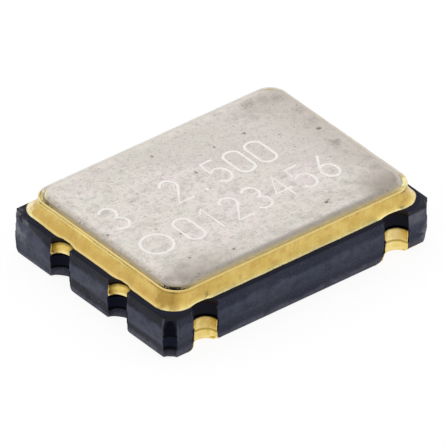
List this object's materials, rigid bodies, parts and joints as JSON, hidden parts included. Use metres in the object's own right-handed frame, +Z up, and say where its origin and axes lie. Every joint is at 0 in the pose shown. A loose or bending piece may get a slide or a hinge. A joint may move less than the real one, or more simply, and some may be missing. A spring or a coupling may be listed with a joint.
{
  "type": "crystal oscillator",
  "caption": "Low rectangular ceramic package with a gold seal ring, a welded metal lid and solder terminals in half-round edge recesses, holding a chip, bond wires and a crystal.",
  "frame": {"origin": "middle of the package at the underside of its solder pads", "axes": "+X along the package's long side, +Y across it, +Z up through the lid; terminal_1 is at -X, -Y and the numbers run anticlockwise seen from above"},
  "size_m": [0.007, 0.0052, 0.0015],
  "materials": {
    "black_ceramic": "matt, fired, snapped edges",
    "ring_gold": "gold plating over nickel, satin",
    "pad_gold": "gold plating on a printed and fired metal layer",
    "lid_nickel": "matt nickel plating, handled",
    "silicon": "polished silicon with a fine metal pattern",
    "wire_gold": "bright drawn gold wire",
    "silver_glue": "silver-filled glue, matt",
    "quartz": "lapped quartz, slightly frosted",
    "electrode_silver": "thin silver film, bright"
  },
  "bodies": {
    "root": {"ceramic_body": "black_ceramic", "ring_braze": "ring_gold", "seal_ring": "ring_gold", "lid": "lid_nickel", "terminal_1": "pad_gold", "terminal_2": "pad_gold", "terminal_3": "pad_gold", "terminal_4": "pad_gold", "side_contact_1": "pad_gold", "side_contact_2": "pad_gold", "side_contact_3": "pad_gold", "side_contact_4": "pad_gold", "die_pad": "pad_gold", "die_attach": "silver_glue", "oscillator_chip": "silicon", "bond_land_1": "pad_gold", "bond_land_2": "pad_gold", "bond_land_3": "pad_gold", "bond_land_4": "pad_gold", "bond_land_5": "pad_gold", "bond_land_6": "pad_gold", "bond_land_7": "pad_gold", "bond_land_8": "pad_gold", "bond_land_9": "pad_gold", "bond_land_10": "pad_gold", "bond_wire_1": "wire_gold", "bond_wire_2": "wire_gold", "bond_wire_3": "wire_gold", "bond_wire_4": "wire_gold", "bond_wire_5": "wire_gold", "bond_wire_6": "wire_gold", "bond_wire_7": "wire_gold", "bond_wire_8": "wire_gold", "bond_wire_9": "wire_gold", "bond_wire_10": "wire_gold", "crystal_land_1": "pad_gold", "crystal_land_2": "pad_gold", "glue_spot_1": "silver_glue", "glue_spot_2": "silver_glue", "crystal_blank": "quartz", "electrode_top": "electrode_silver", "electrode_bottom": "electrode_silver"}
  },
  "joints": []
}
